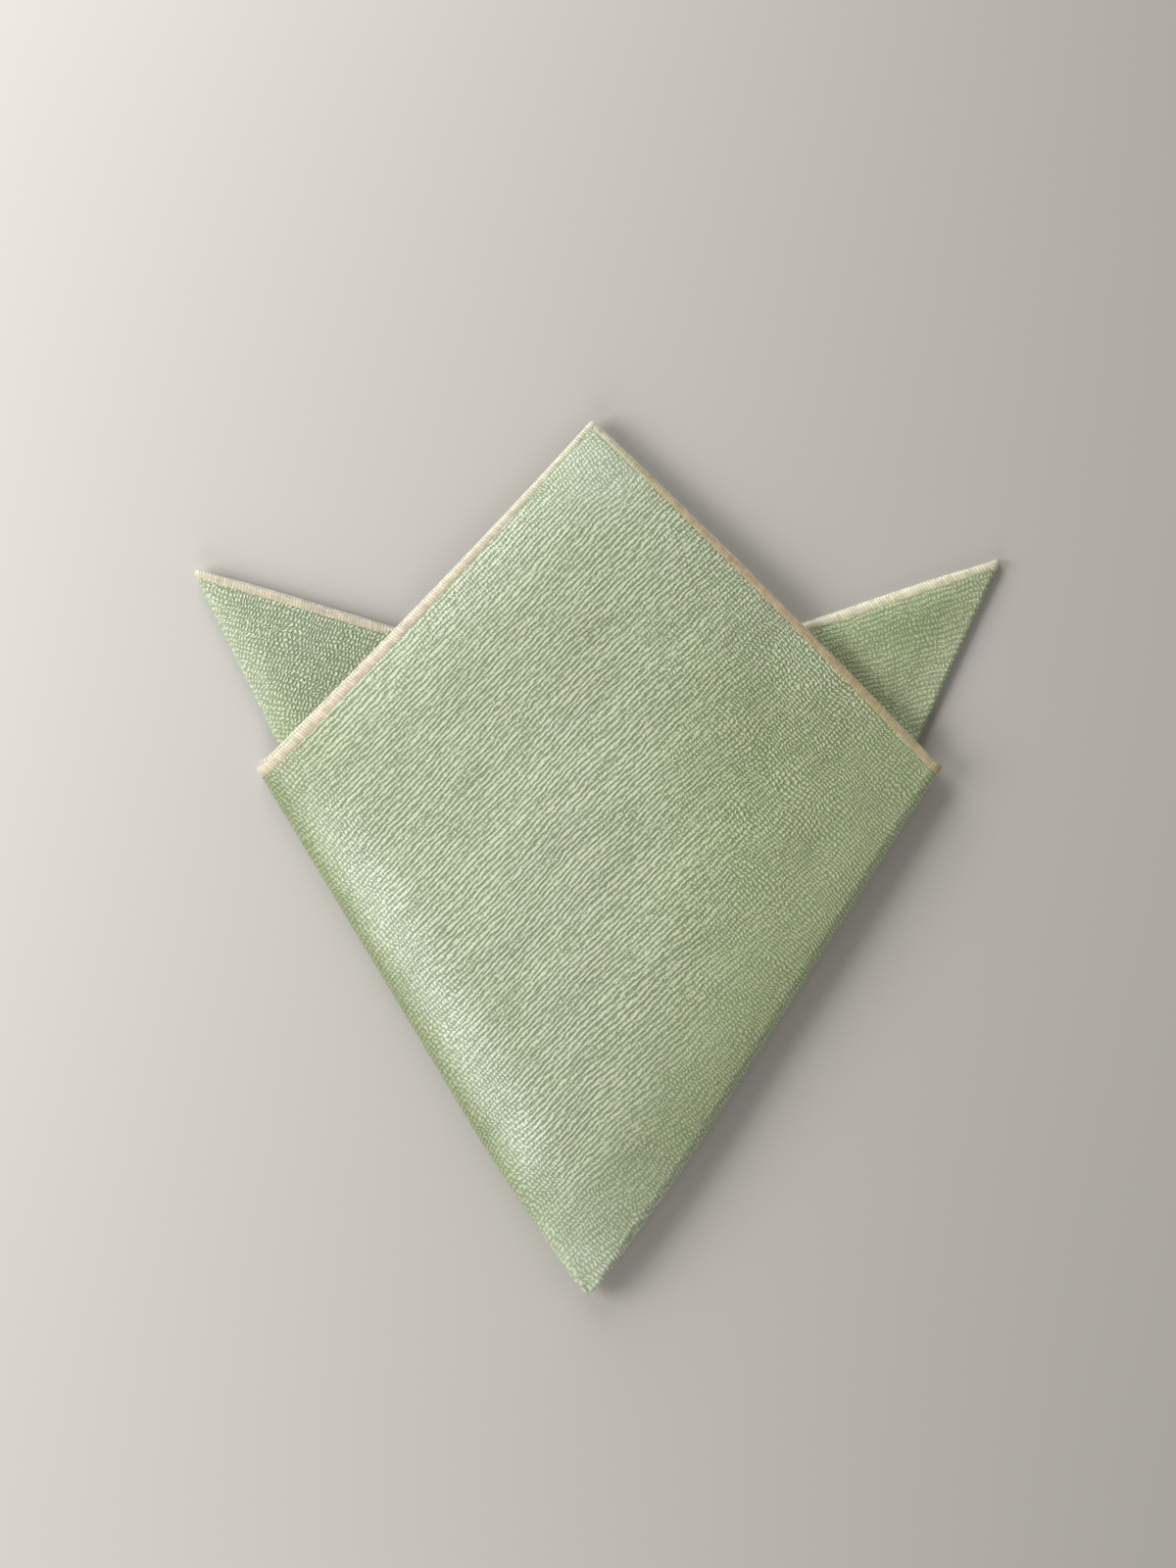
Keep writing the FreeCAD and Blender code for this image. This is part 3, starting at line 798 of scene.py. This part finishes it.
def panel_masks(plan, height):
    """Masks of the panel: pressed and broken at its folds, painted light at its points and hems, painted
    shade at folds and right.
    """
    left, right = from_fold(plan, LEFT_WING), from_fold(plan, RIGHT_WING)
    left_corner, outward = panel_edges(LEFT_WING)
    from_left_hem = (left_corner - plan) @ outward
    right_corner, outward = panel_edges(RIGHT_WING)
    from_right_hem = (right_corner - plan) @ outward
    up = plan[:, 1]
    near_apex = 1 - ease(np.hypot(*(plan - APEX).T), 12 * MM, 30 * MM)
    near_tip = 1 - ease(up, 5 * MM, 13 * MM)
    right_side = ease(plan[:, 0], 5 * MM, 70 * MM)
    upper = ease(height, 0, 1 * MM)

    # the weave is broken into grains at the right and by the folds, which also press it flat
    near_fold = 1 - ease(right, 3 * MM, 26 * MM)
    broken = np.maximum(0.5 * right_side, 0.7 * near_fold)
    broken = np.maximum(broken, 0.4 * (1 - ease(left, 6 * MM, 17 * MM)))
    relief = 1 - 0.35 * (1 - ease(left, 3 * MM, 14 * MM)) - 0.45 * (1 - ease(right, 6 * MM, 34 * MM))
    relief = relief * (1 - 0.4 * near_apex)

    # painted shade on the folds, below the apex, right of the middle and towards the left corner
    painted_shade = (1 - ease(left, 1 * MM, 5.5 * MM)) * (0.2 + 0.8 * ease(up, 4 * MM, 40 * MM))
    near_right = 1 - ease(right, 10 * MM, 40 * MM)
    painted_shade = painted_shade + near_right * (0.12 + 0.22 * (1 - ease(up, 30 * MM, 120 * MM))) * ease(up, 12 * MM, 35 * MM)
    below_apex = ease(up, 120 * MM, 160 * MM) * (1 - near_apex) * (1 - ease(plan[:, 0], 0, 25 * MM))
    painted_shade = painted_shade + 0.28 * below_apex * ease(from_left_hem, 8 * MM, 25 * MM)
    right_of_middle = ease(plan[:, 0], 12 * MM, 32 * MM) * (1 - ease(plan[:, 0], 40 * MM, 56 * MM))
    painted_shade = painted_shade + 0.25 * right_of_middle * ease(up, 95 * MM, 125 * MM)
    left_end = ease(-plan[:, 0], 15 * MM, 50 * MM) * ease(up, 100 * MM, 125 * MM)
    at_left_corner = 1 - ease(np.hypot(*(plan - left_corner).T), 6 * MM, 30 * MM)
    painted_shade = painted_shade + 0.22 * left_end + 0.2 * at_left_corner

    # painted light just inside the left fold, along the hems, at the right fold's edge and at both points
    painted_light = ease(left, 4 * MM, 7.5 * MM) * (1 - ease(left, 11 * MM, 20 * MM))
    painted_light = painted_light * (1 - 0.9 * ease(up, 95 * MM, 128 * MM)) * ease(up, 14 * MM, 36 * MM)
    along_left_hem = (1 - ease(from_left_hem, 2 * MM, 20 * MM)) * ease(up, 125 * MM, 170 * MM)
    along_right_hem = (1 - ease(from_right_hem, 2 * MM, 20 * MM)) * ease(up, 125 * MM, 150 * MM)
    painted_light = np.maximum(painted_light, np.maximum(0.6 * along_left_hem, near_apex))
    painted_light = np.maximum(painted_light, 0.4 * along_right_hem)
    painted_light = np.maximum(painted_light, 0.5 * (1 - ease(right, 1 * MM, 5 * MM)))
    painted_light = np.maximum(painted_light, 0.6 * near_tip)

    # towards the right the threads fall into step, and a warm painted shade darkens the colour there, by the
    # right fold and at the left fold's edge
    in_step = np.maximum(ease(plan[:, 0], 5 * MM, 60 * MM), 0.7 * along_left_hem)
    painted_warm_shade = ease(plan[:, 0], -5 * MM, 50 * MM) * (1 - 0.6 * ease(up, 130 * MM, 165 * MM))
    painted_warm_shade = np.maximum(painted_warm_shade, 0.8 * near_fold * ease(up, 12 * MM, 40 * MM))
    return {
        "grain": 0.12 + np.maximum(broken, 0.5 * near_apex),
        "relief": relief,
        "painted_shade": np.clip(painted_shade, 0, 1) * upper,
        "painted_light": np.clip(painted_light, 0, 1) * upper,
        "painted_warm_shade": np.maximum(painted_warm_shade, 1 - ease(left, 0.5 * MM, 3.5 * MM)),
        "in_step": np.maximum(in_step, 0.6 * (1 - ease(left, 8 * MM, 24 * MM))),
    }


def ear_masks(plan):
    """Masks of the wings behind: pebbled, more coarsely to the left, painted light along hems and creases,
    painted shade mid right ear.
    """
    side = ease(plan[:, 0], -40 * MM, 40 * MM)
    left_crease = (LEFT_EAR_CREASE - plan) @ RIGHT_WING.ear_out
    right_crease = (RIGHT_EAR_CREASE - plan) @ LEFT_WING.ear_out
    near_crease = 1 - mix(ease(left_crease, 2 * MM, 18 * MM), ease(right_crease, 1 * MM, 7 * MM), side)
    at_crease = 1 - ease(left_crease, 1 * MM, 7 * MM)
    corner, outward = panel_edges(LEFT_WING)
    by_left_panel = 1 - ease((plan - corner) @ outward, 2 * MM, 16 * MM)
    corner, outward = panel_edges(RIGHT_WING)
    by_right_panel = 1 - ease((plan - corner) @ outward, 4 * MM, 20 * MM)
    by_left_hem = 1 - ease((plan - RIGHT_WING.ear) @ hem_inward(RIGHT_WING), 2 * MM, 7 * MM)
    by_right_hem = 1 - ease((plan - LEFT_WING.ear) @ hem_inward(LEFT_WING), 2 * MM, 8 * MM)

    # painted shade in the middle of the right ear; painted light by the panel's edges, the hems and the
    # creases; warm painted shade by the left panel and over the right ear
    painted_shade_right = 0.3 * (1 - by_right_panel) * (1 - by_right_hem) * (1 - near_crease)
    painted_light_left = 0.15 + np.maximum(0.25 * by_left_panel, 0.3 * by_left_hem) * (1 - at_crease)
    painted_light_right = np.maximum(0.8 * near_crease, np.maximum(0.2 * by_right_panel, 0.7 * by_right_hem))
    return {
        "grain": mix(0.95, 0.7, side),
        "relief": mix(2.1 - 1.4 * at_crease, 0.65, side),
        "painted_shade": painted_shade_right * side,
        "painted_light": mix(painted_light_left, painted_light_right, side),
        "painted_warm_shade": mix(0.5 * by_left_panel, 0.9, side),
        "in_step": 0.0,
    }


def cloth_masks(points, flat):
    """Every mask at every point of the cloth."""
    plan = points[:, :2] - TIP
    past_fold = np.abs(flat[:, 0]) - np.abs(flat[:, 1]) * math.tan(RIGHT_WING.angle)
    behind = ease(past_fold, 6 * MM, 20 * MM)
    panel, ears = panel_masks(plan, points[:, 2]), ear_masks(plan)
    masks = {
        name: mix(np.where(flat[:, 1] > 0, panel[name], PLAIN[name]), ears[name], behind)
        for name in PLAIN
    }
    masks["crosswise"] = (past_fold > 14 * MM) & (flat[:, 0] < 0) & (flat[:, 1] < 0)
    return masks


def add_masks(piece, masks):
    """Gives every point of a piece its value in each mask, for the piece's material to read."""
    for name, values in masks.items():
        mask = piece.data.attributes.new(name, "FLOAT", "POINT")
        mask.data.foreach_set("value", values.astype(np.float32))


cloth_points, cloth_flat, cloth_faces = cloth_mesh()
cloth_corners = np.concatenate(cloth_faces).astype(int)
around = len(flat_ring(HALF_DIAGONAL))
cloth_maps = {"flat": cloth_flat[cloth_corners], "OFBake": unlapped(cloth_flat, cloth_corners, around)}
cloth = make_piece("folded_cloth", cloth_points, cloth_faces, cloth_maps)
add_masks(cloth, cloth_masks(cloth_points, cloth_flat))
cloth.data.materials.append(cloth_finish())
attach(cloth, "root")
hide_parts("cloth")


# ---- the hem -----------------------------------------------------------------
# The cloth's raw edge is whipped over all round, corners and all, with closely set stitches of cream thread.
# It rides on the cloth through every fold.

STITCH = 0.75 * MM
STITCH_STEPS = 4
STITCH_RELIEF = 0.055 * MM
STITCH_SLANT = 0.3 * MM
HEM_WIDTHS = {1: (1.7 * MM, 2.5 * MM, 2.2 * MM), -1: (1.8 * MM, 3.0 * MM, 2.2 * MM)}
HEM_PROUD = 0.16 * MM
HEM_CORNER = 1.3 * MM
HEM_SECTION = 12
HEM_FULLNESS = 0.7
HEM_ROWS = 16
ROW_END_MARGIN = 0.005
ROW_SIDE_MARGIN = 0.04
# painted shade between the stitches
PAINTED_GAP_SHADE = (0.33, 0.285, 0.190, 1)
THREAD_TAN = (0.475, 0.415, 0.300, 1)
# the outer edge's colour: the cream thread with a painted highlight
EDGE_CREAM_AND_HIGHLIGHT = (0.62, 0.61, 0.510, 1)
THREAD_PALE = (0.49, 0.500, 0.350, 1)
# warm painted shade on the thread along the panel's right hem
PAINTED_WARM_SHADE_THREAD = (0.86, 0.77, 0.61, 1)
# painted light on the thread of the hems behind the panel
PAINTED_LIGHT_THREAD = (1.25, 1.28, 1.27, 1)
DARKEST_STITCH = 0.86
LIGHTEST_STITCH = 1.08

# the thread's mottling: its length along the hem, its reach round the edge in radians, and its strength
THREAD_MOTTLE = (2.6 * MM, 0.9, 0.40)


def rounded(value, fullness):
    """Fills out a sine or cosine, so that a section drawn with it is fuller than an ellipse."""
    return np.sign(value) * np.abs(value) ** fullness


def round_corner(along, depth):
    """Rounds the square's corners off, by moving points that lie near both edges."""
    to_end = np.minimum(along, SIDE - along)
    a = np.maximum(HEM_CORNER - to_end, 0)
    b = np.maximum(HEM_CORNER - depth, 0)
    both = (a > 0) & (b > 0)
    scale = np.where(both, np.maximum(a, b) / np.maximum(np.hypot(a, b), TINY), 1)
    shift = a * (1 - scale)
    along = np.where(along < SIDE / 2, along + shift, along - shift)
    return along, depth + b * (1 - scale)


def hem_mesh():
    """The hem as one closed ring of stitches, folded with the cloth: its points, faces and maps."""
    steps = round(SIDE / STITCH) * STITCH_STEPS
    angle = np.arange(HEM_SECTION) * 2 * math.pi / HEM_SECTION
    along = (np.arange(steps) + 0.5) * SIDE / steps

    # each stitch lies a little aslant and is sunk at both sides, where the next one starts
    slanted = along[:, None] + STITCH_SLANT * np.cos(angle)
    sunk = STITCH_RELIEF * (1 - np.abs(np.sin(math.pi * slanted / STITCH)))
    top = CLOTH / 2 + HEM_PROUD
    bottom = -CLOTH / 2 - HEM_RELIEF
    points = []
    for toward, half in ((1, 1), (1, -1), (-1, -1), (-1, 1)):
        outward = (toward == 1) == (half == 1)
        run = (along if outward else SIDE - along)[:, None]
        s, c = math.sin(WINGS[toward].angle), math.cos(WINGS[toward].angle)
        width = np.interp(run, [0, SIDE * s / (s + c), SIDE], HEM_WIDTHS[toward])
        depth = width / 2 - (width / 2 - sunk) * rounded(np.cos(angle), HEM_FULLNESS)
        lift = (top + bottom) / 2 + ((top - bottom) / 2 - sunk) * rounded(np.sin(angle), HEM_FULLNESS)
        near, depth = round_corner(np.clip(run, depth, SIDE - depth), depth)
        place, inward = near / math.sqrt(2), depth / math.sqrt(2)
        flat = [toward * (place - inward), half * (HALF_DIAGONAL - place - inward)]
        points.append(fold(np.stack(flat, axis=-1), lift))
    points = np.concatenate(points)

    # one map has lengths along the hem and angles round it, and the other lays the hem out in rows
    stations = len(points)
    i, a = np.divmod(np.arange(stations * HEM_SECTION), HEM_SECTION)
    i, a = i[:, None] + [0, 0, 1, 1], a[:, None] + [0, 1, 1, 0]
    faces = (i % stations) * HEM_SECTION + a % HEM_SECTION
    marks = np.stack([(i + 0.5) * SIDE / steps, a * 2 * math.pi / HEM_SECTION], axis=-1)
    row_length = stations // HEM_ROWS
    row = i[:, :1] // row_length
    across = (i - row * row_length) / row_length
    row_across = mix(ROW_END_MARGIN, 1 - ROW_END_MARGIN, across)
    row_up = (row + mix(ROW_SIDE_MARGIN, 1 - ROW_SIDE_MARGIN, a / HEM_SECTION)) / HEM_ROWS
    rows = np.stack([row_across, row_up], axis=-1)
    return points.reshape(-1, 3), faces, {"flat": marks.reshape(-1, 2), "OFBake": rows.reshape(-1, 2)}


def hem_finish():
    """Cream thread: tan towards the cloth, painted highlight at the outer edge and painted shade between the
    stitches.
    """
    material = bpy.data.materials.new("hem_thread")
    material.use_nodes = True
    tree = material.node_tree
    shader = tree.nodes["Principled BSDF"]
    masks = {
        name: add_node(tree, "ShaderNodeAttribute", {}, attribute_name=name).outputs["Fac"]
        for name in ("over_green", "painted_warm_shade", "light")
    }
    place = add_node(tree, "ShaderNodeUVMap", {}, uv_map="flat").outputs["UV"]
    along, round_edge, _ = add_node(tree, "ShaderNodeSeparateXYZ", {0: place}).outputs
    outward = work_out(tree, "COSINE", round_edge)
    slanted = work_out(tree, "MULTIPLY_ADD", outward, STITCH_SLANT, along)
    count = work_out(tree, "DIVIDE", slanted, STITCH)
    crest = work_out(tree, "SINE", work_out(tree, "MULTIPLY", count, math.pi))
    crest = work_out(tree, "ABSOLUTE", crest)
    gap = {"Value": crest, "From Min": 0.05, "From Max": 0.65}
    raised = add_node(tree, "ShaderNodeMapRange", gap, interpolation_type="SMOOTHSTEP").outputs["Result"]

    # paler towards the outer edge: the cream thread with a painted highlight on its rounded outer side
    edge = {"Value": outward, "From Min": 0.2, "From Max": 1.0}
    outer = add_node(tree, "ShaderNodeMapRange", edge).outputs["Result"]
    inner = blend(tree, masks["over_green"], THREAD_TAN, THREAD_PALE)
    thread = blend(tree, outer, inner, EDGE_CREAM_AND_HIGHLIGHT)
    # painted shade between the stitches
    mixed = blend(tree, raised, PAINTED_GAP_SHADE, thread)
    # warm painted shade along the panel's right hem
    mixed = blend(tree, masks["painted_warm_shade"], mixed, PAINTED_WARM_SHADE_THREAD, "MULTIPLY")
    # painted light on the hems behind the panel
    mixed = blend(tree, masks["light"], mixed, PAINTED_LIGHT_THREAD, "MULTIPLY")

    stitch = {"W": work_out(tree, "FLOOR", count)}
    chance = add_node(tree, "ShaderNodeTexWhiteNoise", stitch, noise_dimensions="1D").outputs["Value"]
    level = {"Value": chance, "To Min": DARKEST_STITCH, "To Max": LIGHTEST_STITCH}
    each = add_node(tree, "ShaderNodeMapRange", level).outputs["Result"]
    length, reach, strength = THREAD_MOTTLE
    mottle = swing(tree, noise(tree, scaled(tree, place, length, reach), 2.0), strength)
    stitch_colour_inputs = {0: mixed, "Scale": work_out(tree, "ADD", each, mottle)}
    dye_with_painted_shading = add_node(tree, "ShaderNodeVectorMath", stitch_colour_inputs, operation="SCALE").outputs[0]
    tree.links.new(dye_with_painted_shading, shader.inputs["Base Color"])
    rough = {"Value": raised, "To Min": 0.9, "To Max": 0.6}
    roughness = add_node(tree, "ShaderNodeMapRange", rough).outputs["Result"]
    tree.links.new(roughness, shader.inputs["Roughness"])
    shader.inputs["Sheen Weight"].default_value = 0.2
    return material


hem_points, hem_faces, hem_maps = hem_mesh()
hem = make_piece("stitched_hem", hem_points, hem_faces, hem_maps)

# the green shows through the stitches on the ears and near the apex; the thread gets a warm painted shade
# along the panel's right hem and painted light on the hems behind it
EARS_OVER_GREEN = 0.35
hem_plan = hem_points[:, :2] - TIP
in_front = hem_points[:, 2] > 2 * PAIR_PITCH
near_apex = 1 - ease(APEX[1] - hem_plan[:, 1], 8 * MM, 38 * MM)
hem_masks = {
    "over_green": np.where(in_front, near_apex, EARS_OVER_GREEN),
    "painted_warm_shade": in_front * ease(hem_plan[:, 0], 2 * MM, 16 * MM),
    "light": ~in_front * ease(hem_plan[:, 0], 20 * MM, 45 * MM),
}
add_masks(hem, hem_masks)
hem.data.materials.append(hem_finish())
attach(hem, "root")
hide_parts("hem")


# ---- the stage ---------------------------------------------------------------
# A plain pale floor, four soft lamps round the part with the strongest at its left, and a camera that looks
# straight down on the panel.

FLOOR_SIDE = 6
FLOOR_GREY = (0.44, 0.42, 0.39, 1)
SKY = (1.0, 0.98, 0.86, 1)
SKY_STRENGTH = 0.13

bpy.ops.mesh.primitive_plane_add(size=FLOOR_SIDE)
floor = bpy.context.object
floor.name = "floor"
floor_material = bpy.data.materials.new("pale_floor")
floor_material.use_nodes = True
floor_material.node_tree.nodes["Principled BSDF"].inputs["Base Color"].default_value = FLOOR_GREY
floor.data.materials.append(floor_material)

world = bpy.data.worlds.new("studio")
bpy.context.scene.world = world
world.use_nodes = True
world.node_tree.nodes["Background"].inputs["Color"].default_value = SKY
world.node_tree.nodes["Background"].inputs["Strength"].default_value = SKY_STRENGTH

LAMP_SIDE = 0.36
LAMPS_AIM = np.array([TIP[0], 0.02, 0.0])


def soft_light(name, place, power):
    """A square lamp that shines on the middle of the panel. power is in watts."""
    light = bpy.data.lights.new(name, "AREA")
    light.shape = "SQUARE"
    light.size = LAMP_SIDE
    light.energy = power
    lamp = bpy.data.objects.new(name, light)
    bpy.context.scene.collection.objects.link(lamp)
    lamp.location = place
    lamp.rotation_euler = Vector(LAMPS_AIM - np.array(place)).to_track_quat("-Z", "Y").to_euler()


soft_light("left_softbox", (-0.48, 0.04, 0.33), 3.6)
soft_light("top_softbox", (-0.22, 0.50, 0.28), 2.7)
soft_light("low_softbox", (-0.16, -0.46, 0.28), 1.4)
soft_light("right_softbox", (0.46, 0.02, 0.20), 0.45)

LENS = 94
SENSOR = 36
VIEW_HEIGHT = 0.3824
VIEW_MIDDLE_UP = 0.1245

# the view is this high where it meets the panel, and its middle lies this far up from the part's lower end
camera_data = bpy.data.cameras.new("camera")
camera_data.lens = LENS
camera_data.sensor_width = SENSOR
camera = bpy.data.objects.new("camera", camera_data)
bpy.context.scene.collection.objects.link(camera)
camera.location = (TIP[0], cad_low.y + VIEW_MIDDLE_UP, cloth_high.z + VIEW_HEIGHT * LENS / SENSOR)
bpy.context.scene.camera = camera
bpy.context.scene.view_settings.view_transform = "Standard"
